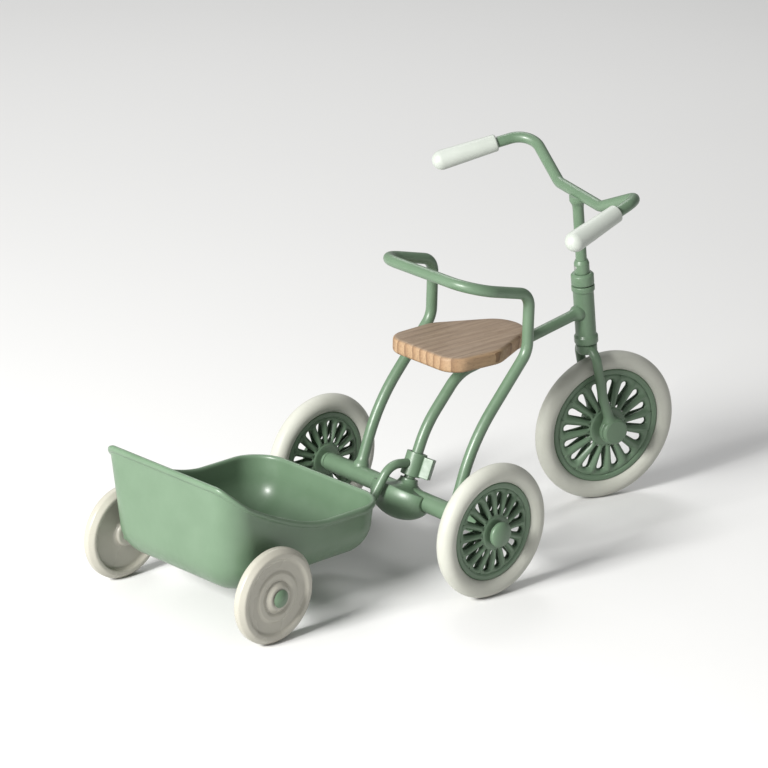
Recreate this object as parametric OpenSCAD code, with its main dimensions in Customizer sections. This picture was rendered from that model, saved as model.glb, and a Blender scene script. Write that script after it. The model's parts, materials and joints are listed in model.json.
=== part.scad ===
// Doll-size steel tricycle with a wooden seat and a clip-on two-wheeled tub trailer.
// Frame: +X forward, +Y left, +Z up. Shapes are drawn from the ground point under the
// rear axle, and origin_shift moves them to the bottom centre of the whole object.

/* [Tricycle] */
// Diameter of each rear wheel
rear_wheel_d = 38; // [34:0.5:42]
// Distance between the middle planes of the rear wheels
rear_track = 70; // [66:1:80]
// Diameter of the front wheel
front_wheel_d = 45; // [42:0.5:46]
// Diameter of the frame and handlebar rod
rod_d = 3.2; // [2.8:0.1:3.4]
// Diameter of the tube that holds the rear axle
axle_tube_d = 5.3; // [4.8:0.1:6]
// Sideways distance between the two uprights of the seat hoop
hoop_w = 39; // [37:0.5:43]
// Lean of the steering axis from the vertical, in degrees
rake = 8; // [4:0.5:12]
// Steering angle at rest, negative to the right, in degrees
steer_rest = -14; // [-20:1:20]

/* [Wheels] */
// Number of slots in each spoked disc
slot_count = 16; // [12:1:20]
// Thickness of the pressed wheel discs
disc_t = 0.6; // [0.5:0.1:0.8]

/* [Seat] */
// Thickness of the seat board
seat_t = 4.4; // [3.5:0.1:5]
// Height of the top of the seat board
seat_top = 60.8; // [60:0.1:62]

/* [Trailer] */
// Diameter of each trailer wheel
trailer_wheel_d = 26.6; // [26:0.2:27.6]
// Distance between the middle planes of the trailer wheels
trailer_track = 60; // [59:0.5:66]
// Outside width of the tub below its rolled rim
tub_w = 50.4; // [49:0.2:51]
// Length of the tub above its rounded bottom edge
tub_l = 56.4; // [55:0.2:57]
// Thickness of the tub sheet
sheet_t = 0.9; // [0.7:0.1:1.2]
// Heading of the trailer at rest, in degrees
trailer_yaw = 3; // [-2:0.5:5]

/* [Hidden] */
$fn = 64;

origin_shift = [-7.63, -2.32, 0];
green = "#7F9F7F";
cream = "#D9DACD";
wood = "#B08E68";
steel = "#8C8F8A";

// Fits and gaps
run_gap = 0.07;
side_gap = 0.3;
fine = 0.01;

// Sides of a bent rod, and the turn between two of its rings
rod_sides = 18;
bend_step = 9;

// Rear wheels and axle
rear_r = rear_wheel_d / 2;
axle_z = rear_r;
wheel_y = rear_track / 2;
rod_r = rod_d / 2;
axle_tube_r = axle_tube_d / 2;
axle_r = 1.4;
bush_r = 2.3;
bush_half = 3;
tube_half = wheel_y - bush_half - side_gap;
cap_r = 3.6;

// Tyre section: a round bead whose inner side is cut flat where the discs end
rear_bead_r = 2.65;
front_bead_r = 2.7;
front_r = front_wheel_d / 2;

// Steering axis: it leans back from a ground point, and the front axle leads it
head_x = 75.6;
fork_offset = 4.1;
front_axle_w = (front_r - fork_offset * sin(rake)) / cos(rake);
head_bottom = 49.6;
head_top = 67.4;
head_r = 3;
crown_top = head_bottom - side_gap;
leg_r = 1.4;
leg_y = 4.8;
eye_r = 4.1;
eye_t = 1.5;
bar_w = 94.6;

// Backbone route in the X-Z plane, from the head tube to the rear axle
backbone_pts = [[66.9, 0, 58.9], [18.9, 0, 50.2], [7.4, 0, 37.4], [0, 0, axle_z]];
backbone_bends = [12, 30];

// Seat hoop route from the left end on the axle to the top left corner, then mirrored
hoop_y = hoop_w / 2;
hoop_half = [
    [0.4, hoop_y, axle_z], [6.9, hoop_y, 38.6], [26.1, hoop_y, 60.4], [26.1, hoop_y, 77], [4.8, hoop_y, 82.2]];
hoop_half_bends = [50, 7, 4.5, 8.5];

// Handlebar route in the steering frame: forward, left, up along the axis
bar_half = [[0.8, 11.5, bar_w + 0.2], [3.2, 30.6, 103.6], [-9.6, 34.2, 101.5]];
bar_bends = [7, 5, 5, 7];
grip_tip = [-25.2, 38.5, 98.8];
grip_front_r = 2.5;
grip_back_r = 2.9;

// Trailer frame: origin on the ground under the trailer axle, X towards the hitch
trailer_pos = [-68.2, 6.9, 0];
trailer_r = trailer_wheel_d / 2;
trailer_pin_r = 1.1;
trailer_y = trailer_track / 2;
trailer_wheel_t = 4.2;
hub_proud = 0.6;
floor_z = 11.7;
tub_mid_z = 20;
tub_back = -10.5;
tub_front = tub_back + tub_l;
tub_top = 48;
bottom_r = 9.7;
rear_corner_r = 5;
front_corner_r = 9.5;
side_lean = 0.02;
rear_lean = 0.06;
front_lean = 0.1;
lip_out = 0.6;
lip_h = 1.9;
rim_front_z = 27;
rim_side_z = 27.2;
rim_back_z = 44.5;

// Hitch clip on the lower backbone
hitch_base = backbone_pts[3];
hitch_dir = backbone_pts[2] - backbone_pts[3];
hitch_lean = atan2(hitch_dir[0], hitch_dir[2]);
clip_low = 5.3;
clip_h = 6.6;
clip_gap = 0.45;
clip_wall = 0.9;
clip_r = rod_r + clip_gap + clip_wall;
clip_slit = 0.5;
tab_low = 0.3;
tab_h = 5.8;
tab_turn = -65;
tab_reach = 5.6;
tab_t = 2.4;
tab_wall = 0.9;
bar_rod_r = 1.3;

function unit(v) = v / norm(v);
function rev(v) = [for (i = [len(v) - 1:-1:0]) v[i]];
function mirror_y(v) = [for (p = v) [p[0], -p[1], p[2]]];

// A straight rod between two points
module rod_between(a, b, r) {
    d = b - a;
    translate(a)
        rotate([0, acos(d[2] / norm(d)), atan2(d[1], d[0])])
            cylinder(r = r, h = norm(d));
}

// The points of one bend of radius R at corner b, between the runs a-b and b-c
function bend_points(a, b, c, R) =
    let (d0 = unit(b - a), d1 = unit(c - b), turn = acos(d0 * d1))
    let (inward = unit(d1 - d0 * (d0 * d1)), mid = b - d0 * R * tan(turn / 2) + inward * R)
    let (n = ceil(turn / bend_step))
    [for (i = [0:n]) mid + R * (d0 * sin(turn * i / n) - inward * cos(turn * i / n))];

// A route of straight runs with its corners rounded
function rounded(pts, bends) = let (last = len(pts) - 1) concat(
    [pts[0]],
    [for (i = [1:last - 1]) each bend_points(pts[i - 1], pts[i], pts[i + 1], bends[i - 1])],
    [pts[last]]);

// Direction of a route at each of its points
function headings(p) = let (last = len(p) - 1) [for (i = [0:last])
    unit((i > 0 ? unit(p[i] - p[i - 1]) : [0, 0, 0]) + (i < last ? unit(p[i + 1] - p[i]) : [0, 0, 0]))];

// A sideways direction at each point that never twists about the route
function sideways(t, from, i = 0) = i == len(t) ? [] :
    let (n = unit(from - t[i] * (from * t[i]))) concat([n], sideways(t, n, i + 1));

// A round rod along a rounded route
module bent_rod(pts, bends, r) {
    p = rounded(pts, bends);
    t = headings(p);
    n = sideways(t, abs(t[0][1]) < 0.9 ? [0, 1, 0] : [1, 0, 0]);
    k = rod_sides;
    last = len(p) - 1;
    rings = [for (i = [0:last], j = [0:k - 1])
        p[i] + r * (n[i] * cos(360 * j / k) + cross(t[i], n[i]) * sin(360 * j / k))];
    walls = [for (i = [0:last - 1], j = [0:k - 1]) let (a = i * k + j, b = i * k + (j + 1) % k)
        each [[a, b + k, b], [a, a + k, b + k]]];
    ends = [[for (j = [0:k - 1]) j], [for (j = [k - 1:-1:0]) last * k + j]];
    polyhedron(rings, concat(walls, ends));
}

// A cylinder along Y, centred on y
module along_y(r, h, y = 0) {
    translate([0, y, 0]) rotate([90, 0, 0]) cylinder(r = r, h = h, center = true);
}

// Frames of the whole object and of the moving groups
module on_ground() {
    translate(origin_shift) children();
}

module in_head_frame() {
    translate([head_x, 0, 0]) rotate([0, -rake, 0]) children();
}

module steered() {
    in_head_frame() rotate([0, 0, steer_rest]) children();
}

module in_trailer() {
    translate(trailer_pos) rotate([0, 0, trailer_yaw]) children();
}

module on_clip() {
    translate(hitch_base) rotate([0, hitch_lean, 0]) children();
}

// Frame -----------------------------------------------------------------------------

module head_tube() {
    color(green) on_ground() in_head_frame() difference() {
        union() {
            translate([0, 0, head_bottom]) cylinder(r = head_r, h = head_top - head_bottom);
            translate([0, 0, head_bottom]) cylinder(r = head_r + 0.45, h = 1.8);
            translate([0, 0, head_bottom + 1.8]) cylinder(r1 = head_r + 0.45, r2 = head_r, h = 1);
            translate([0, 0, head_top - 1.4]) cylinder(r = head_r + 0.35, h = 1.4);
        }
        translate([0, 0, head_bottom - 1]) cylinder(r = rod_r + run_gap, h = head_top - head_bottom + 2);
    }
}

module backbone_tube() {
    color(green) on_ground() difference() {
        bent_rod(backbone_pts, backbone_bends, rod_r);
        in_head_frame() translate([0, 0, head_bottom]) cylinder(r = head_r, h = head_top - head_bottom);
        translate([0, 0, axle_z]) along_y(axle_tube_r, 20);
    }
}

module seat_hoop() {
    color(green) on_ground() difference() {
        bent_rod(
            concat(hoop_half, rev(mirror_y(hoop_half))),
            concat(hoop_half_bends, rev(hoop_half_bends)),
            rod_r);
        translate([0, 0, axle_z]) along_y(axle_tube_r, 3 * hoop_w);
    }
}

module rear_axle_tube() {
    color(green) on_ground() translate([0, 0, axle_z]) difference() {
        along_y(axle_tube_r, 2 * tube_half);
        along_y(axle_r, 2 * tube_half + 2);
    }
}

// The bell housing over the middle of the axle tube: its round belly turns about the
// axle, and a concave shoulder rises from it to a neck round the backbone
bell_r = 6.8;
bell_half = 10.6;
bell_cut = 9.9;
bell_back = 1.1;
bell_steps = 16;
belly = [for (i = [-bell_steps:bell_steps]) let (y = bell_cut * i / bell_steps)
    [bell_r * sqrt(1 - pow(y / bell_half, 2)), y]];
shoulder = [
    [0, 4.5], [2.6, 4.5], [2.6, 3.9], [3, 3.1], [3.8, 2.5], [5.2, 2], [8, 1.5], [16, 0.6], [16, -12], [0, -12]];

module bell_housing() {
    color(green) on_ground() difference() {
        intersection() {
            translate(hitch_base - [bell_back, 0, 0]) rotate([90, 0, 0])
                rotate_extrude() polygon(concat([[0, -bell_cut]], belly, [[0, bell_cut]]));
            on_clip() rotate_extrude() polygon(shoulder);
        }
        translate(hitch_base) along_y(axle_tube_r, 40);
        rod_between(backbone_pts[3], backbone_pts[2], rod_r);
    }
}

// Seat ------------------------------------------------------------------------------

seat_bottom = seat_top - seat_t;
bracket_x = [12, 31];
bracket_y = 6;
bracket_t = 1;
web_t = 1.6;
web_x = 20;
web_h = 5;
backbone_slope = atan2(backbone_pts[0][2] - backbone_pts[1][2], backbone_pts[0][0] - backbone_pts[1][0]);
screw_x = [15, 28];
screw_y = 3.4;
screw_r = 0.8;

module seat_outline(inset = 0) {
    hull() {
        for (s = [-1, 1]) {
            translate([9.6, 8.1 * s]) circle(r = 6.1 - inset);
            translate([19.5, 6.3 * s]) circle(r = 8.4 - inset);
        }
        translate([32.4, 0]) circle(r = 8.6 - inset);
    }
}

module seat_board() {
    edge = 0.9;
    color(wood) on_ground() difference() {
        hull() {
            translate([0, 0, seat_bottom]) linear_extrude(fine) seat_outline(edge);
            translate([0, 0, seat_bottom + edge]) linear_extrude(seat_t - 2 * edge) seat_outline();
            translate([0, 0, seat_top - fine]) linear_extrude(fine) seat_outline(edge);
        }
        for (x = screw_x, s = [-1, 1])
            translate([x, screw_y * s, seat_bottom - 1]) cylinder(r = screw_r, h = 3.4);
    }
}

module seat_bracket() {
    plate_z = seat_bottom - bracket_t;
    color(green) on_ground() difference() {
        union() {
            translate([bracket_x[0], -bracket_y, plate_z])
                cube([bracket_x[1] - bracket_x[0], 2 * bracket_y, bracket_t]);
            translate([web_x, -web_t / 2, plate_z - web_h])
                cube([bracket_x[1] - web_x, web_t, web_h + bracket_t / 2]);
        }
        rod_between(backbone_pts[1], backbone_pts[0], rod_r);
        translate(backbone_pts[1]) rotate([0, -backbone_slope, 0])
            translate([-5, -bracket_y, -20]) cube([40, 2 * bracket_y, 20]);
        for (x = screw_x, s = [-1, 1])
            translate([x, screw_y * s, plate_z - 1]) cylinder(r = screw_r, h = 3);
    }
}

module seat_screws() {
    plate_z = seat_bottom - bracket_t;
    color(steel) on_ground() for (x = screw_x, s = [-1, 1])
        translate([x, screw_y * s, plate_z]) {
        cylinder(r = screw_r, h = bracket_t + 2.4);
        translate([0, 0, -0.8]) cylinder(r = 1.5, h = 0.8);
    }
}

// Wheels ----------------------------------------------------------------------------

// A tyre about the Z axis: outer radius R, bead radius b, flat inner face
module tyre(R, b) {
    seat_r = R - 2 * b + 0.2;
    rotate_extrude() intersection() {
        translate([R - b, 0]) circle(r = b);
        translate([seat_r, -b]) square([2 * b, 2 * b]);
    }
}

function disc_edge(R, b) = R - 2 * b + 0.2;

// One teardrop slot, wide at its outer end, from radius a to radius c
module slot(a, c, w) {
    polygon([[a, -0.3 * w], [c - w, -w], [c - w, w], [a, 0.3 * w]]);
    translate([a, 0]) circle(r = 0.3 * w);
    translate([c - w, 0]) circle(r = w);
}

// A pressed disc about the Z axis, outer face up: edge flange, slotted cone, hub boss
module spoked_disc(edge_r, hub_hole, hub_r) {
    ring_r = edge_r - 1.5;
    slot_out = ring_r - 0.9;
    slot_in = hub_r + 1.6;
    slot_w = 0.29 * 360 / slot_count * PI / 180 * slot_out;
    difference() {
        rotate_extrude() polygon([
            [hub_hole, 2 - disc_t], [hub_r, 2 - disc_t], [ring_r, 0.25], [edge_r, 0.25],
            [edge_r, 0.95], [edge_r - 0.3, 1.2], [ring_r + 0.2, 1.2], [ring_r - 0.2, 0.85],
            [hub_r + 0.6, 2 - 0.1], [hub_r, 2.2], [hub_hole, 2.2]]);
        for (i = [0:slot_count - 1])
            rotate([0, 0, (i + 0.5) * 360 / slot_count])
                translate([0, 0, -1]) linear_extrude(5) slot(slot_in, slot_out, slot_w);
    }
}

// A plain hub tube between the two discs
module hub_bush(half) {
    difference() {
        cylinder(r = bush_r, h = 2 * half, center = true);
        cylinder(r = axle_r + run_gap, h = 2 * half + 2, center = true);
    }
}

hub_r = 4;

// Places a wheel part on the rear axle: side is 1 left or -1 right, +Z outwards
module rear_hub(side) {
    translate([0, side * wheel_y, axle_z]) rotate([-90 * side, 0, 0]) children();
}

module rear_tyre(side) color(cream) on_ground() rear_hub(side) tyre(rear_r, rear_bead_r);

module rear_disc(side, outer) {
    color(green) on_ground() rear_hub(side) rotate([outer ? 0 : 180, 0, 0])
        spoked_disc(disc_edge(rear_r, rear_bead_r), bush_r, hub_r);
}

module rear_bush(side) color(green) on_ground() rear_hub(side) hub_bush(bush_half);

module rear_axle() {
    color(steel) on_ground() translate([0, 0, axle_z]) along_y(axle_r, 2 * (wheel_y + bush_half + 1.2));
}

// A domed push-on cap about the Z axis, its flat face at z = 0
module dome_cap(r, h, hole_r, hole_h) {
    R = (r * r + h * h) / (2 * h);
    difference() {
        intersection() {
            translate([0, 0, h - R]) sphere(r = R);
            cylinder(r = r, h = h + 1);
        }
        translate([0, 0, -1]) cylinder(r = hole_r, h = hole_h + 1);
    }
}

module rear_axle_caps() {
    color(green) on_ground() for (side = [-1, 1])
        rear_hub(side) translate([0, 0, bush_half + side_gap]) dome_cap(cap_r, 2, axle_r, 0.9);
}

// Steering --------------------------------------------------------------------------

module steering_stem() {
    color(green) on_ground() steered() difference() {
        translate([0, 0, crown_top - 2]) cylinder(r = rod_r, h = bar_w + 0.4 - crown_top + 2);
        translate([bar_half[0][0], 0, bar_half[0][2]]) along_y(rod_r, 20);
    }
}

module headset_collar() {
    color(green) on_ground() steered() translate([0, 0, head_top + side_gap]) difference() {
        union() {
            cylinder(r = 3.3, h = 2.8);
            translate([0, 0, 2.8]) cylinder(r1 = 3.3, r2 = 2.7, h = 0.6);
        }
        translate([0, 0, -1]) cylinder(r = rod_r, h = 6);
    }
}

module stem_sleeve() {
    base = head_top + side_gap + 3.4;
    color(green) on_ground() steered() translate([0, 0, base]) difference() {
        union() {
            cylinder(r = 2.2, h = 3);
            translate([0, 0, 3]) cylinder(r1 = 2.2, r2 = 1.8, h = 1);
        }
        translate([0, 0, -1]) cylinder(r = rod_r, h = 6);
        translate([0, 0, 2]) rotate([0, -90, 0]) cylinder(r = 0.5, h = 5);
    }
}

module handlebar() {
    route = concat(rev(bar_half), mirror_y(bar_half));
    color(green) on_ground() steered() bent_rod(route, bar_bends, rod_r);
}

// A tapered round grip from the bar's end to its tip, with a socket for the bar
module grip(side) {
    end = bar_half[len(bar_half) - 1];
    a = [end[0], side * end[1], end[2]];
    tip = [grip_tip[0], side * grip_tip[1], grip_tip[2]];
    d = unit(tip - a);
    start = a - d * 3;
    len_all = norm(tip - start);
    color(cream) on_ground() steered() translate(start)
        rotate([0, acos(d[2]), atan2(d[1], d[0])]) difference() {
            rotate_extrude() polygon(concat(
                [[0, 0], [grip_front_r - 0.4, 0], [grip_front_r, 0.4], [grip_back_r, len_all - grip_back_r]],
                [for (a = [90 / 8:90 / 8:90]) [0, len_all - grip_back_r] + grip_back_r * [cos(a), sin(a)]]));
            translate([0, 0, -1]) cylinder(r = rod_r, h = 4);
        }
}

// Fork: an inverted U over the tyre, its legs bowed forward to two flat eyes
fork_half = [[fork_offset, leg_y, front_axle_w], [1.6, leg_y, 33], [0, leg_y, crown_top - leg_r]];
fork_bends = [30, 3.4, 3.4, 30];

module fork() {
    route = concat(fork_half, rev(mirror_y(fork_half)));
    color(green) on_ground() steered() difference() {
        union() {
            bent_rod(route, fork_bends, leg_r);
            translate([0, 0, crown_top - 2.8]) cylinder(r = 3, h = 2.8);
            for (s = [-1, 1]) translate([fork_offset, 0, front_axle_w]) along_y(eye_r, eye_t, s * leg_y);
        }
        translate([0, 0, crown_top - 2]) cylinder(r = rod_r, h = 5);
        translate([fork_offset, 0, front_axle_w]) along_y(axle_r, 30);
        for (s = [-1, 1]) translate([fork_offset, 0, front_axle_w])
            along_y(eye_r + 1, 3, s * (leg_y + eye_t / 2 + 1.5));
        for (s = [-1, 1]) translate([fork_offset, 0, front_axle_w])
            along_y(eye_r + 1, 2, s * (leg_y - eye_t / 2 - 1));
    }
}

module front_axle() {
    color(steel) on_ground() steered() translate([fork_offset, 0, front_axle_w])
        along_y(axle_r, 2 * (leg_y + eye_t / 2 + 0.9));
}

module front_axle_caps() {
    color(green) on_ground() steered() translate([fork_offset, 0, front_axle_w]) for (s = [-1, 1])
        rotate([-90 * s, 0, 0]) translate([0, 0, leg_y + eye_t / 2]) difference() {
            union() {
                cylinder(r = 3.9, h = 1);
                translate([0, 0, 1]) cylinder(r1 = 3.9, r2 = 3.4, h = 0.5);
            }
            translate([0, 0, -1]) cylinder(r = axle_r, h = 1.9);
        }
}

// Places a front wheel part in the fork, +Z to the given side
module front_hub(side = 1) {
    steered() translate([fork_offset, 0, front_axle_w]) rotate([-90 * side, 0, 0]) children();
}

front_half = leg_y - eye_t / 2 - side_gap;

module front_tyre() color(cream) on_ground() front_hub() tyre(front_r, front_bead_r);

module front_disc(side) {
    color(green) on_ground() front_hub(side) spoked_disc(disc_edge(front_r, front_bead_r), bush_r, hub_r + 1);
}

module front_hub_bush() color(green) on_ground() front_hub() hub_bush(front_half);

// Hitch and trailer -----------------------------------------------------------------

// The clip: a split collar round the backbone whose ends fold out to a finger tab
module hitch_clip() {
    color(green) on_ground() on_clip() translate([0, 0, clip_low]) difference() {
        union() {
            cylinder(r = clip_r, h = clip_h);
            rotate([0, 0, tab_turn]) translate([0, -tab_t / 2, tab_low]) cube([tab_reach, tab_t, tab_h]);
        }
        translate([0, 0, -1]) cylinder(r = rod_r + clip_gap, h = clip_h + 2);
        rotate([0, 0, tab_turn]) translate([0, -clip_slit / 2, -1])
            cube([tab_reach - tab_wall, clip_slit, clip_h + 2]);
    }
}

// The flat end of a sphere of ball_fn sides lies a little inside its radius
ball_fn = 40;
floor_top = floor_z + bottom_r - (bottom_r - sheet_t) * cos(90 / (ball_fn / 2));

// Drawbar route in the trailer frame: under the floor, up over the axle tube, into the clip
clip_mid = hitch_base + unit(hitch_dir) * (clip_low + clip_h / 2);
clip_rel = clip_mid - trailer_pos;
clip_u = clip_rel[0] * cos(trailer_yaw) + clip_rel[1] * sin(trailer_yaw);
clip_v = -clip_rel[0] * sin(trailer_yaw) + clip_rel[1] * cos(trailer_yaw);
draw_z = floor_z - bar_rod_r;
draw_pts = [
    [6, 0, draw_z], [47.5, 0, draw_z], [clip_u - 16.5, clip_v + 2.4, 15.5],
    [clip_u - 9.1, clip_v + 0.4, clip_rel[2] + 1.9], [clip_u, clip_v, clip_rel[2] + 0.5]];
draw_bends = [5, 6, 5];
draw_rivet_x = [14, 34];
draw_rivet_r = 0.6;
draw_rivet_sink = 0.4;

module drawbar() {
    color(green) on_ground() difference() {
        in_trailer() bent_rod(draw_pts, draw_bends, bar_rod_r);
        on_clip() cylinder(r = clip_r, h = 40);
        in_trailer() for (x = draw_rivet_x) translate([x, 0, 0]) cylinder(r = draw_rivet_r, h = 30);
    }
}

// Each rivet is flush with the tub's floor and has its head under the drawbar
module drawbar_rivets() {
    foot = draw_z - bar_rod_r - draw_rivet_sink;
    color(green) on_ground() in_trailer() for (x = draw_rivet_x) translate([x, 0, foot]) {
        cylinder(r = draw_rivet_r, h = floor_top - foot);
        mirror([0, 0, 1]) dome_cap(1.2, 0.6, 0.1, 0.01);
    }
}

// The tub's outline shrunk by t all round: rounded below, with walls that lean outwards
module tub_form(t) {
    rise = tub_top - tub_mid_z;
    dip = floor_z + bottom_r - tub_mid_z;
    low_back = tub_back - rear_lean * dip + bottom_r;
    low_front = tub_front + front_lean * dip - bottom_r;
    low_side = tub_w / 2 + side_lean * dip - bottom_r;
    top_back = tub_back - rear_lean * rise + rear_corner_r;
    top_front = tub_front + front_lean * rise - front_corner_r;
    top_side = tub_w / 2 + side_lean * rise;
    hull() for (s = [-1, 1]) {
        for (x = [low_back, low_front]) translate([x, s * low_side, floor_z + bottom_r])
            sphere(r = bottom_r - t, $fn = ball_fn);
        translate([top_back, s * (top_side - rear_corner_r), tub_top])
            cylinder(r = rear_corner_r - t, h = 1, $fn = ball_fn);
        translate([top_front, s * (top_side - front_corner_r), tub_top])
            cylinder(r = front_corner_r - t, h = 1, $fn = ball_fn);
    }
}

// The rim's height along the tub: it sweeps down from the tailgate to the low sides
swoop_start = tub_back - 1.5;
swoop_len = 36.5;
swoop_power = 1.75;
swoop_steps = 16;
rim_line = concat(
    [[tub_back - 10, rim_back_z]],
    [for (i = [0:swoop_steps]) let (t = i / swoop_steps)
        [swoop_start + swoop_len * t, rim_side_z + (rim_back_z - rim_side_z) * pow(1 - t, swoop_power)]],
    [[tub_front - 9, rim_side_z], [tub_front - 2, rim_front_z], [tub_front + 10, rim_front_z]]);

// Everything between the rim line, lowered by a and by b
module rim_band(a, b) {
    rotate([90, 0, 0]) linear_extrude(100, center = true) polygon(concat(
        [for (p = rim_line) p - [0, a]], rev([for (p = rim_line) p - [0, b]])));
}

module trailer_tub() {
    color(green) on_ground() in_trailer() difference() {
        union() {
            tub_form(0);
            intersection() {
                tub_form(-lip_out);
                rim_band(0, lip_h);
            }
        }
        tub_form(sheet_t);
        rim_band(-80, 0);
        for (x = draw_rivet_x) translate([x, 0, 0]) cylinder(r = draw_rivet_r, h = 30);
        translate([0, 0, trailer_r]) along_y(trailer_pin_r, 2 * tub_w);
    }
}

// Two stub pins, each through one wall of the tub and one wheel
module trailer_pins() {
    inner = tub_w / 2 - 6;
    outer = trailer_y + trailer_wheel_t / 2 + hub_proud + side_gap + 0.6;
    color(steel) on_ground() in_trailer() translate([0, 0, trailer_r]) for (s = [-1, 1])
        along_y(trailer_pin_r, outer - inner, s * (inner + outer) / 2);
}

// Two spacer tubes round the pins, each coped to the tub's rounded wall
module trailer_spacers() {
    inner = tub_w / 2 - 8;
    outer = trailer_y - trailer_wheel_t / 2 - side_gap;
    color(green) on_ground() in_trailer() difference() {
        for (s = [-1, 1]) translate([0, 0, trailer_r]) along_y(2, outer - inner, s * (inner + outer) / 2);
        tub_form(0);
        translate([0, 0, trailer_r]) along_y(trailer_pin_r, 4 * tub_w);
    }
}

module trailer_pin_caps() {
    face_y = trailer_y + trailer_wheel_t / 2 + hub_proud + side_gap;
    color(green) on_ground() in_trailer() for (s = [-1, 1])
        translate([0, s * face_y, trailer_r]) rotate([-90 * s, 0, 0]) dome_cap(2.5, 0.9, trailer_pin_r, 0.6);
}

// A solid moulded wheel with stepped faces, +Z outwards
module disc_wheel() {
    h = trailer_wheel_t / 2;
    R = trailer_r;
    difference() {
        rotate_extrude() polygon([
            [0, -h], [3.6, -h], [3.6, -h + 1.6], [R - 2.6, -h + 1.6], [R - 2.6, -h], [R - 1.4, -h],
            [R - 0.45, -h + 0.4], [R, -h + 1.4],
            [R, h - 1.4], [R - 0.45, h - 0.4], [R - 1.4, h], [R - 2.6, h],
            [R - 3.1, h - 0.7], [R - 6.2, h - 0.7], [R - 6.6, h - 0.2], [R - 8.2, h - 0.2],
            [R - 8.6, h - 0.6], [4.1, h - 0.4], [3.4, h + hub_proud], [0, h + hub_proud]]);
        cylinder(r = trailer_pin_r + run_gap, h = 20, center = true);
    }
}

module trailer_wheel(side) {
    color(cream) on_ground() in_trailer() translate([0, side * trailer_y, trailer_r])
        rotate([-90 * side, 0, 0]) disc_wheel();
}

head_tube();
backbone_tube();
seat_hoop();
rear_axle_tube();
bell_housing();
seat_bracket();
seat_board();
seat_screws();
rear_axle();
rear_axle_caps();
steering_stem();
headset_collar();
stem_sleeve();
handlebar();
grip(1);  // left_grip
grip(-1);  // right_grip
fork();
front_axle();
front_axle_caps();
front_tyre();
front_disc(1);  // front_left_disc
front_disc(-1);  // front_right_disc
front_hub_bush();
rear_tyre(1);  // left_rear_tyre
rear_disc(1, true);  // left_rear_outer_disc
rear_disc(1, false);  // left_rear_inner_disc
rear_bush(1);  // left_rear_hub_bush
rear_tyre(-1);  // right_rear_tyre
rear_disc(-1, true);  // right_rear_outer_disc
rear_disc(-1, false);  // right_rear_inner_disc
rear_bush(-1);  // right_rear_hub_bush
hitch_clip();
drawbar();
drawbar_rivets();
trailer_tub();
trailer_pins();
trailer_spacers();
trailer_pin_caps();
trailer_wheel(1);  // left_trailer_wheel
trailer_wheel(-1);  // right_trailer_wheel
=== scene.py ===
import json
import math

import bpy
import numpy as np
from mathutils import Matrix, Vector


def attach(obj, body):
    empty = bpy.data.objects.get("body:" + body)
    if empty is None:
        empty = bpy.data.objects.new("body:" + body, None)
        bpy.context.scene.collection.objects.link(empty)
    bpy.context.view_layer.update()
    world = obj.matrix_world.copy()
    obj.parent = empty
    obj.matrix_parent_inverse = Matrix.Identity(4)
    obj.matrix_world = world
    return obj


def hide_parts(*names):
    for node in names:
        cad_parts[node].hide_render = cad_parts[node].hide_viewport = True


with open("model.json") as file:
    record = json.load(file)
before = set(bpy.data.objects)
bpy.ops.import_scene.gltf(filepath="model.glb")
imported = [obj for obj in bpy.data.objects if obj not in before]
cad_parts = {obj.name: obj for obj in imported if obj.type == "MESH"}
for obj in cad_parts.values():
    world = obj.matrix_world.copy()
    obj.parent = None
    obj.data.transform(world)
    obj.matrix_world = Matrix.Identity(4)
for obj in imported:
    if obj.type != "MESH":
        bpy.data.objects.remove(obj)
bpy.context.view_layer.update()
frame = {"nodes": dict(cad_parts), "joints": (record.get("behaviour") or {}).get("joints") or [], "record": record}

MM = 0.001

# ---------------------------------------------------------------- places from the frame

JOINTS = {j["name"]: j for j in frame["joints"]}


def joint_pos(name):
    return Vector(JOINTS[name]["pos_m"])


def joint_axis(name):
    return Vector(JOINTS[name]["axis"]).normalized()


def axes(origin, u, v, w):
    """A frame whose columns are the unit directions u, v and w."""
    m = Matrix((u, v, w)).transposed().to_4x4()
    m.translation = origin
    return m


def ground_under(point):
    return Vector((point.x, point.y, 0.0))


AXLE = (joint_pos("left_rear_wheel_spin") + joint_pos("right_rear_wheel_spin")) / 2
REAR_R = AXLE.z / MM
WHEEL_Y = (joint_pos("left_rear_wheel_spin").y - AXLE.y) / MM
BODY = Matrix.Translation(ground_under(AXLE))

head_w = joint_axis("steering_turn")
head_v = joint_axis("front_wheel_spin")
STEER = axes(joint_pos("steering_turn"), head_v.cross(head_w), head_v, head_w)
HEAD = axes(joint_pos("steering_turn"), Vector((0, 1, 0)).cross(head_w), Vector((0, 1, 0)), head_w)
front_hub = STEER.inverted() @ joint_pos("front_wheel_spin") / MM

trailer_v = joint_axis("left_trailer_wheel_spin")
trailer_mid = (joint_pos("left_trailer_wheel_spin") + joint_pos("right_trailer_wheel_spin")) / 2
TRAILER = axes(ground_under(trailer_mid), trailer_v.cross(Vector((0, 0, 1))), trailer_v, Vector((0, 0, 1)))
TRAILER_R = trailer_mid.z / MM
TRAILER_Y = (joint_pos("left_trailer_wheel_spin") - trailer_mid).length / MM


def about(centre, direction, base=BODY):
    """A frame in millimetres of base whose +Z points along direction."""
    turn = Vector(direction).normalized().to_track_quat("Z", "Y").to_matrix().to_4x4()
    return base @ Matrix.Translation(Vector(centre) * MM) @ turn


# ---------------------------------------------------------------- mesh helpers

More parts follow.
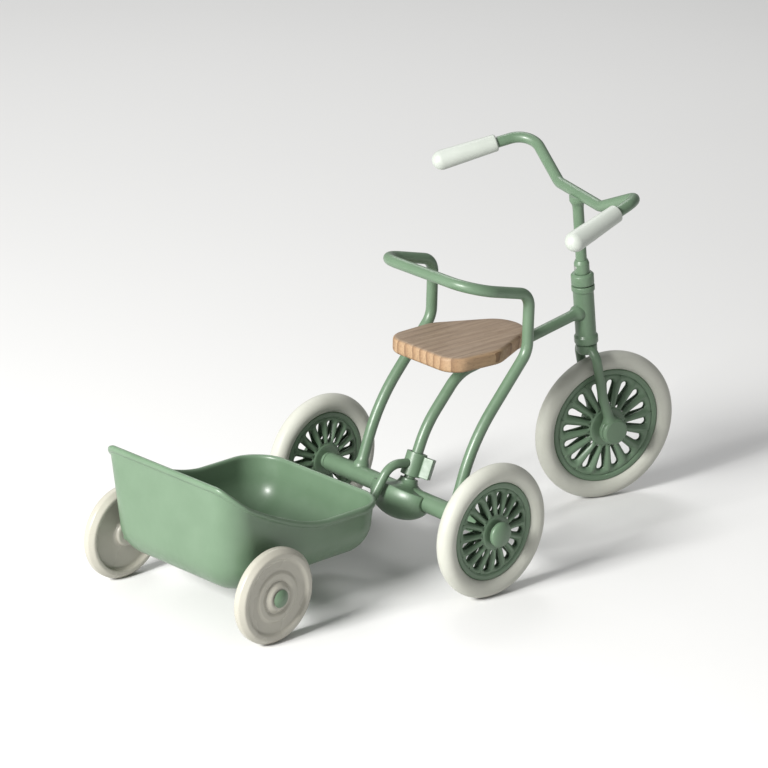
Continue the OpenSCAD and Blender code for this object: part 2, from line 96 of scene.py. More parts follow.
def make(name, verts, faces, base, body, slot, replaced=(), smooth_angle=40):
    """A smooth-shaded mesh from millimetre vertices in the frame base, riding on body."""
    mesh = bpy.data.meshes.new(name)
    mesh.from_pydata([base @ (Vector(v) * MM) for v in verts], [], faces)
    mesh.validate()
    mesh.shade_smooth()
    mesh.set_sharp_from_angle(angle=math.radians(smooth_angle))
    obj = bpy.data.objects.new(name, mesh)
    bpy.context.scene.collection.objects.link(obj)
    obj.data.materials.append(MATERIALS[slot])
    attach(obj, body)
    if replaced:
        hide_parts(*replaced)
    return obj


def grid_faces(rings, sides, close_rings=False):
    """Quads between neighbouring rings of a closed section."""
    faces = []
    for i in range(rings if close_rings else rings - 1):
        a, b = i * sides, (i + 1) % rings * sides
        faces += [(a + j, a + (j + 1) % sides, b + (j + 1) % sides, b + j) for j in range(sides)]
    return faces


def unit(v):
    return v / np.linalg.norm(v)


def bend(a, b, c, radius, step):
    """Points of one round bend at corner b."""
    d0, d1 = unit(b - a), unit(c - b)
    turn = math.acos(np.clip(d0 @ d1, -1, 1))
    inward = unit(d1 - d0 * (d0 @ d1))
    mid = b - d0 * radius * math.tan(turn / 2) + inward * radius
    count = max(2, math.ceil(turn / step))
    return [mid + radius * (d0 * math.sin(turn * i / count) - inward * math.cos(turn * i / count))
            for i in range(count + 1)]


def route(points, bends, step=math.radians(3)):
    """A polyline of straight runs with every corner rounded."""
    pts = [np.array(p, float) for p in points]
    out = [pts[0]]
    for i in range(1, len(pts) - 1):
        out += bend(pts[i - 1], pts[i], pts[i + 1], bends[i - 1], step)
    return out + [pts[-1]]


def flared(path, radius, flare, reach, ends):
    """Radius at each point of a path, swollen like a weld near the chosen ends."""
    s = np.concatenate([[0], np.cumsum([np.linalg.norm(b - a) for a, b in zip(path, path[1:])])])
    r = np.full(len(path), radius, float)
    for end in ends:
        gap = np.maximum(0, (s if end == 0 else s[-1] - s) - ends[end])
        r = r + flare * np.exp(-(gap / reach) ** 1.5)
    return r


def divided(path, longest):
    """The path with its long straight runs cut into shorter ones."""
    out = [path[0]]
    for a, b in zip(path, path[1:]):
        n = max(1, math.ceil(np.linalg.norm(b - a) / longest))
        out += [a + (b - a) * (i + 1) / n for i in range(n)]
    return out


def tube(name, path, radius, base, body, replaced=(), welds=None, sides=32):
    """A painted round rod along path; welds gives how far the joined part reaches at each end."""
    path = divided(path, 0.5 if welds else 6)
    radii = flared(path, radius, 0.75, 0.9, welds or {})
    n = len(path)
    heads = [unit(path[min(i + 1, n - 1)] - path[max(i - 1, 0)]) for i in range(n)]
    side = np.array([0.0, 1.0, 0.0]) if abs(heads[0][1]) < 0.9 else np.array([1.0, 0.0, 0.0])
    verts = []
    for p, t, r in zip(path, heads, radii):
        side = unit(side - t * (side @ t))
        up = np.cross(t, side)
        verts += [p + r * (side * math.cos(a) + up * math.sin(a))
                  for a in np.linspace(0, 2 * math.pi, sides, endpoint=False)]
    faces = grid_faces(n, sides)
    faces += [tuple(range(sides))[::-1], tuple(range((n - 1) * sides, n * sides))]
    return make(name, verts, faces, base, body, "paint", replaced)


def softened(profile, radius, steps=5):
    """A lathe profile with its corners rounded by up to radius."""
    pts = [np.array(p, float) for p in profile]
    out = [pts[0]]
    for a, b, c in zip(pts, pts[1:], pts[2:]):
        d0, d1 = unit(b - a), unit(c - b)
        turn = math.acos(np.clip(d0 @ d1, -1, 1))
        cut = min(radius * math.tan(turn / 2), 0.48 * np.linalg.norm(b - a), 0.48 * np.linalg.norm(c - b))
        if turn < 0.05:
            out.append(b)
            continue
        p0, p2 = b - d0 * cut, b + d1 * cut
        out += [(1 - t) ** 2 * p0 + 2 * t * (1 - t) * b + t * t * p2 for t in np.linspace(0, 1, steps)]
    return out + [pts[-1]]


def lathe(name, profile, base, body, slot, replaced=(), segments=96, closed=False):
    """A profile of (radius, height) points turned about the frame's Z axis."""
    verts, rings, faces = [], [], []
    for r, h in profile:
        if r < 1e-6:
            rings.append([len(verts)])
            verts.append((0, 0, h))
        else:
            rings.append(list(range(len(verts), len(verts) + segments)))
            verts += [(r * math.cos(a), r * math.sin(a), h)
                      for a in np.linspace(0, 2 * math.pi, segments, endpoint=False)]
    pairs = list(zip(rings, rings[1:])) + ([(rings[-1], rings[0])] if closed else [])
    for a, b in pairs:
        for j in range(segments):
            k = (j + 1) % segments
            if len(a) == 1 and len(b) > 1:
                faces.append((a[0], b[k], b[j]))
            elif len(b) == 1 and len(a) > 1:
                faces.append((a[j], a[k], b[0]))
            elif len(a) > 1:
                faces.append((a[j], a[k], b[k], b[j]))
    return make(name, verts, faces, base, body, slot, replaced)


def remeshed(node, name, body, slot, voxel, rounds):
    """A smoothed copy of a CAD node, remeshed so that its edges are rounded."""
    obj = bpy.data.objects.new(name, frame["nodes"][node].data.copy())
    bpy.context.scene.collection.objects.link(obj)
    obj.data.materials.clear()
    obj.data.materials.append(MATERIALS[slot])
    remesh = obj.modifiers.new("Remesh", "REMESH")
    remesh.mode = "VOXEL"
    remesh.voxel_size = voxel * MM
    remesh.use_smooth_shade = True
    smooth = obj.modifiers.new("Smooth", "SMOOTH")
    smooth.factor = 0.5
    smooth.iterations = rounds
    bpy.context.view_layer.update()
    done = bpy.data.meshes.new_from_object(obj.evaluated_get(bpy.context.evaluated_depsgraph_get()))
    obj.modifiers.clear()
    obj.data = done
    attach(obj, body)
    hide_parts(node)
    return obj


# ---------------------------------------------------------------- materials

class Shader:
    """A material under construction, with short calls for nodes and links."""

    def __init__(self, name):
        self.material = bpy.data.materials.new(name)
        self.material.use_nodes = True
        self.tree = self.material.node_tree
        self.tree.nodes.clear()
        self.out = self.add("ShaderNodeOutputMaterial")
        self.bsdf = self.add("ShaderNodeBsdfPrincipled")
        self.link(self.bsdf.outputs["BSDF"], self.out.inputs["Surface"])
        self.where = self.add("ShaderNodeTexCoord").outputs["Object"]

    def add(self, kind, **values):
        node = self.tree.nodes.new(kind)
        for key, value in values.items():
            setattr(node, key, value)
        return node

    def link(self, a, b):
        self.tree.links.new(a, b)

    def set(self, **values):
        for key, value in values.items():
            self.bsdf.inputs[key.replace("_", " ")].default_value = value

    def stretched(self, scale):
        node = self.add("ShaderNodeMapping")
        node.inputs["Scale"].default_value = scale
        self.link(self.where, node.inputs["Vector"])
        return node.outputs["Vector"]

    def noise(self, size_mm, detail=3.0, rough=0.5, vector=None, distortion=0.0):
        """Noise whose blobs are about size_mm across."""
        node = self.add("ShaderNodeTexNoise")
        node.inputs["Scale"].default_value = 1 / (size_mm * MM)
        node.inputs["Detail"].default_value = detail
        node.inputs["Roughness"].default_value = rough
        node.inputs["Distortion"].default_value = distortion
        self.link(vector or self.where, node.inputs["Vector"])
        return node.outputs["Fac"]

    def ramp(self, fac, stops):
        node = self.add("ShaderNodeValToRGB")
        while len(node.color_ramp.elements) < len(stops):
            node.color_ramp.elements.new(0.5)
        for element, (place, colour) in zip(node.color_ramp.elements, stops):
            element.position = place
            element.color = colour if len(colour) == 4 else (*colour, 1)
        self.link(fac, node.inputs["Fac"])
        return node.outputs["Color"]

    def range(self, fac, low, high, out_low, out_high):
        node = self.add("ShaderNodeMapRange")
        for key, value in zip(("From Min", "From Max", "To Min", "To Max"), (low, high, out_low, out_high)):
            node.inputs[key].default_value = value
        self.link(fac, node.inputs["Value"])
        return node.outputs["Result"]

    def maths(self, operation, a, b):
        node = self.add("ShaderNodeMath", operation=operation)
        for socket, value in zip(node.inputs, (a, b)):
            if isinstance(value, (int, float)):
                socket.default_value = value
            else:
                self.link(value, socket)
        return node.outputs["Value"]

    def mix(self, fac, a, b, blend="MIX"):
        node = self.add("ShaderNodeMix", data_type="RGBA", blend_type=blend)
        for key, value in (("Factor", fac), ("A", a), ("B", b)):
            socket = [s for s in node.inputs if s.name == key and s.enabled][0]
            if isinstance(value, (int, float)):
                socket.default_value = value
            elif isinstance(value, tuple):
                socket.default_value = (*value, 1)
            else:
                self.link(value, socket)
        return [s for s in node.outputs if s.enabled][0]

    def bump(self, height, depth_mm, strength=1.0):
        node = self.add("ShaderNodeBump")
        node.inputs["Strength"].default_value = strength
        node.inputs["Distance"].default_value = depth_mm * MM
        self.link(height, node.inputs["Height"])
        self.link(node.outputs["Normal"], self.bsdf.inputs["Normal"])


def enamel():
    """Satin sage enamel: faint cloudiness, orange peel, and a painted highlight (paler paint) on sharp edges."""
    s = Shader("sage_enamel")
    cloud = s.noise(9, 4)
    peel = s.noise(0.55, 2)
    speck = s.noise(0.16, 2, 0.7)
    body = s.ramp(cloud, [(0.3, (0.100, 0.162, 0.099)), (0.7, (0.114, 0.180, 0.113))])
    body = s.mix(s.range(speck, 0.62, 0.8, 0, 0.25), body, (0.140, 0.214, 0.139))
    edge = s.add("ShaderNodeNewGeometry").outputs["Pointiness"]
    # Painted highlight: sharp edges (high pointiness) are mixed towards a paler green, broken up by the cloud
    # noise.
    painted_edge_highlight = s.maths("MULTIPLY", s.range(edge, 0.52, 0.62, 0, 0.4), s.range(cloud, 0.3, 0.7, 0.3, 1))
    s.link(s.mix(painted_edge_highlight, body, (0.170, 0.250, 0.170)), s.bsdf.inputs["Base Color"])
    s.link(s.range(s.noise(1.8, 4), 0.3, 0.7, 0.33, 0.46), s.bsdf.inputs["Roughness"])
    s.bump(s.maths("ADD", peel, s.maths("MULTIPLY", speck, 0.2)), 0.012, 0.8)
    s.set(Coat_Weight=0.12, Coat_Roughness=0.22, IOR=1.48)
    return s.material


def rubber():
    """Matt off-white rubber with a little handling grime and moulding texture."""
    s = Shader("cream_rubber")
    grime = s.noise(7, 5, 0.6)
    grain = s.noise(0.22, 3, 0.6)
    body = s.ramp(grime, [(0.3, (0.420, 0.424, 0.372)), (0.65, (0.455, 0.460, 0.408))])
    body = s.mix(s.range(grain, 0.6, 0.8, 0, 0.3), body, (0.39, 0.385, 0.34))
    s.link(body, s.bsdf.inputs["Base Color"])
    s.link(s.range(grime, 0.3, 0.7, 0.5, 0.62), s.bsdf.inputs["Roughness"])
    s.bump(grain, 0.02, 0.6)
    s.set(IOR=1.45, Sheen_Weight=0.08, Sheen_Roughness=0.5)
    return s.material


def moulded(name, low, high, rough):
    """A moulded plastic: faint flow marks, fine grain and tiny dents."""
    s = Shader(name)
    flow = s.noise(11, 2)
    grain = s.noise(0.3, 3)
    body = s.mix(s.range(grain, 0.6, 0.85, 0, 0.25), s.ramp(flow, [(0.3, low), (0.7, high)]), low)
    s.link(body, s.bsdf.inputs["Base Color"])
    s.link(s.range(flow, 0.3, 0.7, rough, rough + 0.1), s.bsdf.inputs["Roughness"])
    s.bump(s.maths("ADD", s.maths("MULTIPLY", grain, 0.3), s.noise(2.2, 2)), 0.02, 0.5)
    s.set(IOR=1.5)
    return s.material


RING_PITCH = 2.9


def timber():
    """A board with its grain along X: growth rings across Y, fine pores and warmer cut edges."""
    s = Shader("oiled_board")
    wander = s.noise(16, 2, 0.5, s.stretched((0.35, 1, 1)))
    split = s.add("ShaderNodeSeparateXYZ")
    s.link(s.where, split.inputs["Vector"])
    rings = s.maths("MULTIPLY", split.outputs["Y"], 1 / (RING_PITCH * MM))
    across = s.maths("ADD", rings, s.maths("MULTIPLY", wander, 1.6))
    saw = s.maths("FRACT", across, 0)
    ring = s.maths("POWER", saw, 2.2)
    fibre = s.noise(0.55, 4, 0.62, s.stretched((0.045, 1, 0.6)))
    streak = s.noise(1.7, 3, 0.6, s.stretched((0.07, 1, 0.5)))
    pores = s.noise(0.24, 2, 0.5, s.stretched((0.09, 1, 1)))
    normal = s.add("ShaderNodeSeparateXYZ")
    coords = s.add("ShaderNodeTexCoord")
    s.link(coords.outputs["Normal"], normal.inputs["Vector"])
    flat = s.range(s.maths("ABSOLUTE", normal.outputs["Z"], 0), 0.55, 0.95, 0, 1)
    top = s.ramp(s.maths("ADD", s.maths("MULTIPLY", ring, 0.16), s.maths("MULTIPLY", streak, 0.9)),
                 [(0.2, (0.315, 0.238, 0.165)), (0.5, (0.245, 0.178, 0.121)), (0.85, (0.160, 0.110, 0.072))])
    edge = s.ramp(s.maths("ADD", ring, s.maths("MULTIPLY", streak, 0.15)),
                  [(0.1, (0.375, 0.250, 0.145)), (0.5, (0.305, 0.192, 0.105)), (0.95, (0.205, 0.122, 0.065))])
    body = s.mix(flat, edge, top)
    body = s.mix(s.range(fibre, 0.42, 0.7, 0, 0.32), body, (0.15, 0.09, 0.05))
    body = s.mix(s.range(pores, 0.63, 0.72, 0, 0.7), body, (0.12, 0.075, 0.045))
    s.link(body, s.bsdf.inputs["Base Color"])
    s.link(s.range(fibre, 0.3, 0.7, 0.48, 0.66), s.bsdf.inputs["Roughness"])
    height = s.maths("SUBTRACT", s.maths("MULTIPLY", fibre, 0.5), s.range(pores, 0.6, 0.72, 0, 0.8))
    s.bump(height, 0.06, 0.8)
    s.set(IOR=1.46)
    return s.material


def wire():
    """Dull drawn steel with lengthwise scratches."""
    s = Shader("drawn_steel")
    scratch = s.noise(0.3, 4, 0.6, s.stretched((1, 0.05, 1)))
    tone = s.ramp(scratch, [(0.3, (0.40, 0.41, 0.39)), (0.7, (0.55, 0.56, 0.54))])
    s.link(tone, s.bsdf.inputs["Base Color"])
    s.link(s.range(scratch, 0.3, 0.7, 0.28, 0.45), s.bsdf.inputs["Roughness"])
    s.bump(scratch, 0.01, 0.5)
    s.set(Metallic=1.0)
    return s.material


def pale_floor():
    """Plain matt floor with barely visible mottling."""
    s = Shader("pale_floor")
    tone = s.ramp(s.noise(400, 3), [(0.3, (0.74, 0.74, 0.735)), (0.7, (0.76, 0.76, 0.755))])
    s.link(tone, s.bsdf.inputs["Base Color"])
    s.set(Roughness=0.9)
    s.bsdf.inputs["Specular IOR Level"].default_value = 0.1
    return s.material


MATERIALS = {
    "paint": enamel(),
    "tyre": rubber(),
    "grip": moulded("grip_vinyl", (0.400, 0.430, 0.390), (0.435, 0.465, 0.425), 0.42),
    "seat_wood": timber(),
    "steel": wire(),
    "wheel_plastic": moulded("wheel_plastic", (0.365, 0.352, 0.300), (0.395, 0.382, 0.328), 0.24),
}

SLOT_OF = {row["node"]: row["material_slot"] for row in frame["record"]["subparts"]}
for node, obj in frame["nodes"].items():
    obj.data.materials.clear()
    obj.data.materials.append(MATERIALS[SLOT_OF[node]])

# ---------------------------------------------------------------- frame of the tricycle

ROD_R = 1.6
AXLE_TUBE_R = 2.65
HEAD_R = 3.0
HEAD_BOTTOM, HEAD_TOP = 49.6, 67.4
SIDE_GAP = 0.3
HOOP_Y = 19.5
HOOP_HALF = [
    (0.4, HOOP_Y, REAR_R), (6.9, HOOP_Y, 38.6), (26.1, HOOP_Y, 60.4), (26.1, HOOP_Y, 77), (4.8, HOOP_Y, 82.2)]
HOOP_BENDS = [50, 7, 4.5, 8.5]
BACKBONE = [(66.9, 0, 58.9), (18.9, 0, 50.2), (7.4, 0, 37.4), (0, 0, REAR_R)]
BACKBONE_BENDS = [12, 30]


def mirrored(points):
    return [(x, -y, z) for x, y, z in points]


def build_frame():
    hoop = route(HOOP_HALF + mirrored(HOOP_HALF)[::-1], HOOP_BENDS + HOOP_BENDS[::-1])
    tube("hoop_rod", hoop, ROD_R, BODY, "frame", ["seat_hoop"], {0: AXLE_TUBE_R, 1: AXLE_TUBE_R})
    spine = route(BACKBONE, BACKBONE_BENDS)
    tube("backbone_rod", spine, ROD_R, BODY, "frame", ["backbone_tube"], {0: HEAD_R - 0.2})
    half = WHEEL_Y - 3 - SIDE_GAP
    shell = softened([(1.4, -half), (AXLE_TUBE_R, -half), (AXLE_TUBE_R, half), (1.4, half)], 0.5)
    lathe("axle_tube", shell, about((0, 0, REAR_R), (0, 1, 0)), "frame", "paint", ["rear_axle_tube"])
    bore = ROD_R + 0.07
    socket = [(bore, HEAD_BOTTOM), (HEAD_R + 0.45, HEAD_BOTTOM), (HEAD_R + 0.45, HEAD_BOTTOM + 1.9),
              (HEAD_R, HEAD_BOTTOM + 2.7), (HEAD_R, HEAD_TOP - 2.0), (HEAD_R + 0.35, HEAD_TOP - 1.5),
              (HEAD_R + 0.35, HEAD_TOP), (bore, HEAD_TOP)]
    lathe("head_socket", softened(socket, 0.3), HEAD, "frame", "paint", ["head_tube"])
    remeshed("bell_housing", "bell_casting", "frame", "paint", 0.14, 10)
    remeshed("seat_bracket", "bracket_pressing", "frame", "paint", 0.12, 3)


# ---------------------------------------------------------------- seat

SEAT_TOP, SEAT_T, SEAT_EDGE = 60.8, 4.4, 1.05
SEAT_CIRCLES = [(9.6, 8.1, 6.1), (9.6, -8.1, 6.1), (19.5, 6.3, 8.4), (19.5, -6.3, 8.4), (32.4, 0, 8.6)]


def convex_outline(circles, count=220):
    """Evenly spaced points round the hull of some circles, from their support function."""
    angles = np.linspace(0, 2 * math.pi, 1440, endpoint=False)
    hull = []
    for a in angles:
        n = np.array([math.cos(a), math.sin(a)])
        x, y, r = max(circles, key=lambda c: c[0] * n[0] + c[1] * n[1] + c[2])
        hull.append(np.array([x, y]) + r * n)
    hull = np.array(hull + hull[:1])
    s = np.concatenate([[0], np.cumsum(np.linalg.norm(np.diff(hull, axis=0), axis=1))])
    even = np.linspace(0, s[-1], count, endpoint=False)
    return np.column_stack([np.interp(even, s, hull[:, 0]), np.interp(even, s, hull[:, 1])])


def build_seat():
    edge = convex_outline(SEAT_CIRCLES)
    tangent = np.roll(edge, -1, axis=0) - np.roll(edge, 1, axis=0)
    inward = np.column_stack([-tangent[:, 1], tangent[:, 0]])
    inward /= np.linalg.norm(inward, axis=1)[:, None]
    centre = np.array([20.5, 0])
    low, high = SEAT_TOP - SEAT_T, SEAT_TOP
    arc = np.linspace(0, math.pi / 2, 7)
    section = [(SEAT_EDGE * (1 - math.cos(a)), high - SEAT_EDGE * (1 - math.sin(a))) for a in arc]
    section = [(i, low + high - z) for i, z in section[::-1]] + section
    rings = [edge + inward * i for i, _ in section]
    heights = [z for _, z in section]
    for share in (0.85, 0.6, 0.3):
        rings.append(centre + (rings[len(section) - 1] - centre) * share)
        heights.append(high)
    verts = [(x, y, z) for ring, z in zip(rings, heights) for x, y in ring]
    sides = len(edge)
    faces = grid_faces(len(rings), sides)
    faces += [tuple(range(sides))[::-1], tuple(range(len(verts) - sides, len(verts)))]
    make("seat_plank", verts, faces, BODY, "frame", "seat_wood", ["seat_board"])


# ---------------------------------------------------------------- spoked wheels

SLOTS = 16
DISC_T = 0.6
BUSH_R = 2.3
REAR_BEAD = 2.65
REAR_HUB_R, FRONT_HUB_R = 4, 5


def disc_edge(wheel_r, bead_r):
    """Radius of a disc's edge, which sits a little way into its tyre."""
    return wheel_r - 2 * bead_r + 0.2


def teardrop(inner, outer, width, count):
    """Points round one slot on the +X axis, narrow towards the hub."""
    tip_r = 0.3 * width
    centre_in, centre_out = inner, outer - width
    lean = math.asin((width - tip_r) / (centre_out - centre_in))
    split = count // 2
    big = np.linspace(-(math.pi / 2 + lean), math.pi / 2 + lean, split, endpoint=False)
    small = np.linspace(math.pi / 2 + lean, 3 * math.pi / 2 - lean, count - split, endpoint=False)
    pts = [(centre_out + width * math.cos(a), width * math.sin(a)) for a in big]
    pts += [(centre_in + tip_r * math.cos(a), tip_r * math.sin(a)) for a in small]
    return np.array(pts)


def resampled(loop, count):
    loop = np.vstack([loop, loop[:1]])
    s = np.concatenate([[0], np.cumsum(np.linalg.norm(np.diff(loop, axis=0), axis=1))])
    even = np.linspace(0, s[-1], count, endpoint=False)
    return np.column_stack([np.interp(even, s, loop[:, 0]), np.interp(even, s, loop[:, 1])])


def pressed_disc(name, edge_r, hub_r, base, body, node):
    """A pressed disc whose spokes are rounded ridges between slots with rolled lips."""
    ring_r = edge_r - 1.5
    slot_out, slot_in = 0.80 * edge_r, hub_r + 1.3
    width = 0.205 * 2 * math.pi / SLOTS * slot_out
    r_in, r_out = hub_r + 0.75, ring_r - 0.2
    half = math.pi / SLOTS
    count, bands = 40, 7
    hole = resampled(teardrop(slot_in, slot_out, width, 80), count)
    side = np.linspace(0, 1, 14)
    cap = np.linspace(-1, 1, 6)
    border = [(r_out, a * half) for a in cap[:-1]] + [(r_out + (r_in - r_out) * t, half) for t in side[:-1]]
    border += [(r_in, -a * half) for a in cap[:-1]] + [(r_in + (r_out - r_in) * t, -half) for t in side[:-1]]
    border = np.array([(r * math.cos(a), r * math.sin(a)) for r, a in border])
    centre = np.array([(slot_in + slot_out) / 2, 0])
    start = np.argmin(np.abs(np.arctan2(*(border - centre).T[::-1])))
    border = resampled(np.roll(border, -start, axis=0), count)
    begin = np.argmin(np.abs(np.arctan2(*(hole - centre).T[::-1])))
    hole = np.roll(hole, -begin, axis=0)

    def height(r):
        return float(np.interp(r, [hub_r, hub_r + 0.6, ring_r - 0.2, ring_r + 0.2], [2.15, 1.9, 0.85, 1.15]))

    verts, faces = [], []
    for k in range(SLOTS):
        turn = (k + 0.5) * 2 * half
        c, s = math.cos(turn), math.sin(turn)
        first = len(verts)
        for b in range(bands):
            t = b / (bands - 1)
            ring = hole + (border - hole) * t
            for x, y in ring:
                r = math.hypot(x, y)
                roll = 0.62 * (1 - t) ** 2.2
                ends = np.clip(min(r - r_in, r_out - r) / 1.2, 0, 1)
                crown = 0.42 * math.sin(math.pi * t / 2) * ends
                verts.append((x * c - y * s, x * s + y * c, height(r) - roll * ends + crown))
        for b in range(bands - 1):
            for j in range(count):
                a0, a1 = first + b * count + j, first + b * count + (j + 1) % count
                faces.append((a0, a0 + count, a1 + count, a1))
    sheet = make(name + "_spokes", verts, faces, base, body, "paint", [node], 70)
    weld = sheet.modifiers.new("Weld", "WELD")
    weld.merge_threshold = 0.02 * MM
    solid = sheet.modifiers.new("Thickness", "SOLIDIFY")
    solid.thickness = DISC_T * 0.7 * MM
    solid.offset = -1
    rim = [(ring_r - 0.35, 0.3), (ring_r - 0.1, 0.25), (edge_r - 0.02, 0.25), (edge_r - 0.02, 0.95),
           (edge_r - 0.35, 1.22), (ring_r + 0.25, 1.22), (ring_r - 0.25, 0.92)]
    lathe(name + "_rim", softened(rim, 0.25), base, body, "paint", closed=True)
    boss = [(BUSH_R, 2 - DISC_T), (hub_r + 0.3, 2 - DISC_T), (hub_r + 0.85, 1.4), (hub_r + 0.9, 1.85),
            (hub_r + 0.4, 2.18), (hub_r - 0.3, 2.22), (BUSH_R, 2.2)]
    lathe(name + "_boss", softened(boss, 0.2), base, body, "paint", closed=True)


def tyre(name, wheel_r, bead_r, base, body, node):
    """A round tyre, closed at the disc's edge, with two faint moulding lines."""
    seat_r = disc_edge(wheel_r, bead_r)
    centre = wheel_r - bead_r
    reach = math.acos((seat_r - centre) / bead_r)
    profile = []
    for a in np.linspace(-reach, reach, 48):
        seam = 0.035 * math.exp(-((abs(a) - 1.95) / 0.06) ** 2)
        profile.append((centre + (bead_r - seam) * math.cos(a), (bead_r - seam) * math.sin(a)))
    lathe(name, profile, base, body, "tyre", [node], 160, closed=True)


def cap_profile(radius, height, foot=0.0):
    """A shallow dome with a soft rolled edge, from its rim to its middle."""
    arc = [(radius * math.sin(a), foot + height * (0.35 + 0.65 * math.cos(a)))
           for a in np.linspace(math.pi / 2, 0, 12)]
    return [(0, foot)] + [(radius * 0.96, foot)] + arc


def build_rear_wheel(side, word):
    base = about((0, side * WHEEL_Y, REAR_R), (0, side, 0))
    body = word + "_rear_wheel"
    edge_r = disc_edge(REAR_R, REAR_BEAD)
    tyre(word + "_rear_rubber", REAR_R, REAR_BEAD, base, body, word + "_rear_tyre")
    pressed_disc(word + "_rear_outer", edge_r, REAR_HUB_R, base, body, word + "_rear_outer_disc")
    flipped = base @ Matrix.Rotation(math.pi, 4, "X")
    pressed_disc(word + "_rear_inner", edge_r, REAR_HUB_R, flipped, body, word + "_rear_inner_disc")
    dome = cap_profile(3.6, 2.0, 3 + SIDE_GAP)
    lathe(word + "_axle_dome", dome, base, "frame", "paint")


def build_rear_wheels():
    for side, word in ((1, "left"), (-1, "right")):
        build_rear_wheel(side, word)
    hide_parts("rear_axle_caps")


# ---------------------------------------------------------------- steering

FRONT_R, FRONT_BEAD = 22.5, 2.7
BAR_W = 94.6
BAR_HALF = [(0.8, 11.5, BAR_W + 0.2), (3.2, 30.6, 103.6), (-9.6, 34.2, 101.5)]
BAR_BENDS = [7, 5, 5, 7]
GRIP_TIP = (-25.2, 38.5, 98.8)
GRIP_R = 2.9
GRIP_LAP = 3
LEG_R, LEG_Y, EYE_R, EYE_T = 1.4, 4.8, 4.1, 1.5


def build_bars():
    bar = route(BAR_HALF[::-1] + mirrored(BAR_HALF), BAR_BENDS)
    tube("handlebar_rod", bar, ROD_R, STEER, "steering", ["handlebar"])
    for side, word in ((1, "left"), (-1, "right")):
        end = np.array(BAR_HALF[-1]) * (1, side, 1)
        tip = np.array(GRIP_TIP) * (1, side, 1)
        d = unit(tip - end)
        start = end - GRIP_LAP * d
        length = np.linalg.norm(tip - start)
        foot = length - GRIP_R
        body = [(ROD_R, 0.9), (ROD_R + 0.05, 0.0), (2.15, 0.0), (2.5, 0.35), (2.52, 1.2), (GRIP_R, foot)]
        body = softened(body, 0.3)
        arc = np.linspace(0.12, math.pi / 2, 12)
        body += [(GRIP_R * math.cos(a), foot + GRIP_R * math.sin(a)) for a in arc]
        body[-1] = (0, length)
        lathe(word + "_grip_sleeve", body, about(start, d, STEER), "steering", "grip", [word + "_grip"])


def build_stem():
    crown_top = HEAD_BOTTOM - SIDE_GAP
    path = [np.array((0, 0, crown_top - 2.0)), np.array((0, 0, BAR_W + 0.1))]
    tube("stem_rod", path, ROD_R, STEER, "steering", ["steering_stem"], {1: ROD_R - 0.1})
    base = HEAD_TOP + SIDE_GAP
    collar = [(ROD_R, base), (3.3, base), (3.3, base + 2.8), (2.7, base + 3.4), (ROD_R, base + 3.4)]
    lathe("headset_ring", softened(collar, 0.35), STEER, "steering", "paint", ["headset_collar"])
    foot = base + 3.4
    sleeve = [(ROD_R, foot), (2.2, foot), (2.2, foot + 3), (1.8, foot + 4), (ROD_R, foot + 4)]
    lathe("stem_socket", softened(sleeve, 0.25), STEER, "steering", "paint", ["stem_sleeve"])
    screw = [(0, 0.1), (0.5, 0.1), (0.62, 0.0), (0.62, -0.25), (0, -0.25)]
    back = about((-2.15, 0, foot + 1.9), (-1, 0, 0), STEER)
    lathe("set_screw", screw, back, "steering", "steel", segments=32)


def build_fork():
    crown_top = HEAD_BOTTOM - SIDE_GAP
    half = [(front_hub.x, LEG_Y, front_hub.z), (1.6, LEG_Y, 33), (0, LEG_Y, crown_top - LEG_R)]
    path = route(half + mirrored(half)[::-1], [30, 3.4, 3.4, 30])
    eyes = {0: EYE_R - 0.6, 1: EYE_R - 0.6}
    tube("fork_legs", path, LEG_R, STEER, "steering", ["fork"], eyes)
    crown = [(0, crown_top - 2.9), (2.6, crown_top - 2.9), (3.0, crown_top - 2.3), (3.0, crown_top - 0.5),
             (2.5, crown_top - 0.02), (0, crown_top - 0.02)]
    lathe("fork_crown", softened(crown, 0.3), STEER, "steering", "paint")
    for side, word in ((1, "left"), (-1, "right")):
        hub = about((front_hub.x, side * LEG_Y, front_hub.z), (0, side, 0), STEER)
        eye = [(1.4, -EYE_T / 2), (EYE_R, -EYE_T / 2), (EYE_R, EYE_T / 2), (1.4, EYE_T / 2)]
        lathe(word + "_fork_eye", softened(eye, 0.35), hub, "steering", "paint", closed=True)
        face = EYE_T / 2
        cap = [(0, face), (3.9, face), (3.9, face + 1), (3.3, face + 1.5), (0, face + 1.5)]
        lathe(word + "_hub_cap", softened(cap, 0.4), hub, "steering", "paint")
    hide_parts("front_axle_caps")


def build_front_wheel():
    edge_r = disc_edge(FRONT_R, FRONT_BEAD)
    for side, word in ((1, "left"), (-1, "right")):
        hub = about(front_hub, (0, side, 0), STEER)
        pressed_disc("front_" + word, edge_r, FRONT_HUB_R, hub, "front_wheel", f"front_{word}_disc")
    tyre("front_rubber", FRONT_R, FRONT_BEAD, about(front_hub, (0, 1, 0), STEER), "front_wheel", "front_tyre")


# ---------------------------------------------------------------- trailer

FLOOR_Z, MID_Z, BOTTOM_R = 11.7, 20.0, 9.7
TUB_BACK, TUB_L, TUB_W, TUB_TOP = -10.5, 56.4, 50.4, 48.0
REAR_CORNER, FRONT_CORNER = 5.0, 9.5
SIDE_LEAN, REAR_LEAN, FRONT_LEAN = 0.02, 0.06, 0.10
SHEET_T, LIP_OUT, LIP_H = 0.9, 0.6, 1.9
# The rolled lip, outside to inside: depth below the rim, and how far it stands out
LIP = [
    (-1.85, 0.1), (-1.65, 0.38), (-1.3, 0.56), (-0.8, LIP_OUT), (-0.35, 0.5), (-0.1, 0.25),
    (0, -0.1), (-0.02, -0.45), (-0.2, -0.75), (-0.6, -SHEET_T)]
RIM_BACK, RIM_SIDE, RIM_FRONT = 44.5, 27.2, 27.0
SWOOP_LEN, SWOOP_POWER = 36.5, 1.75


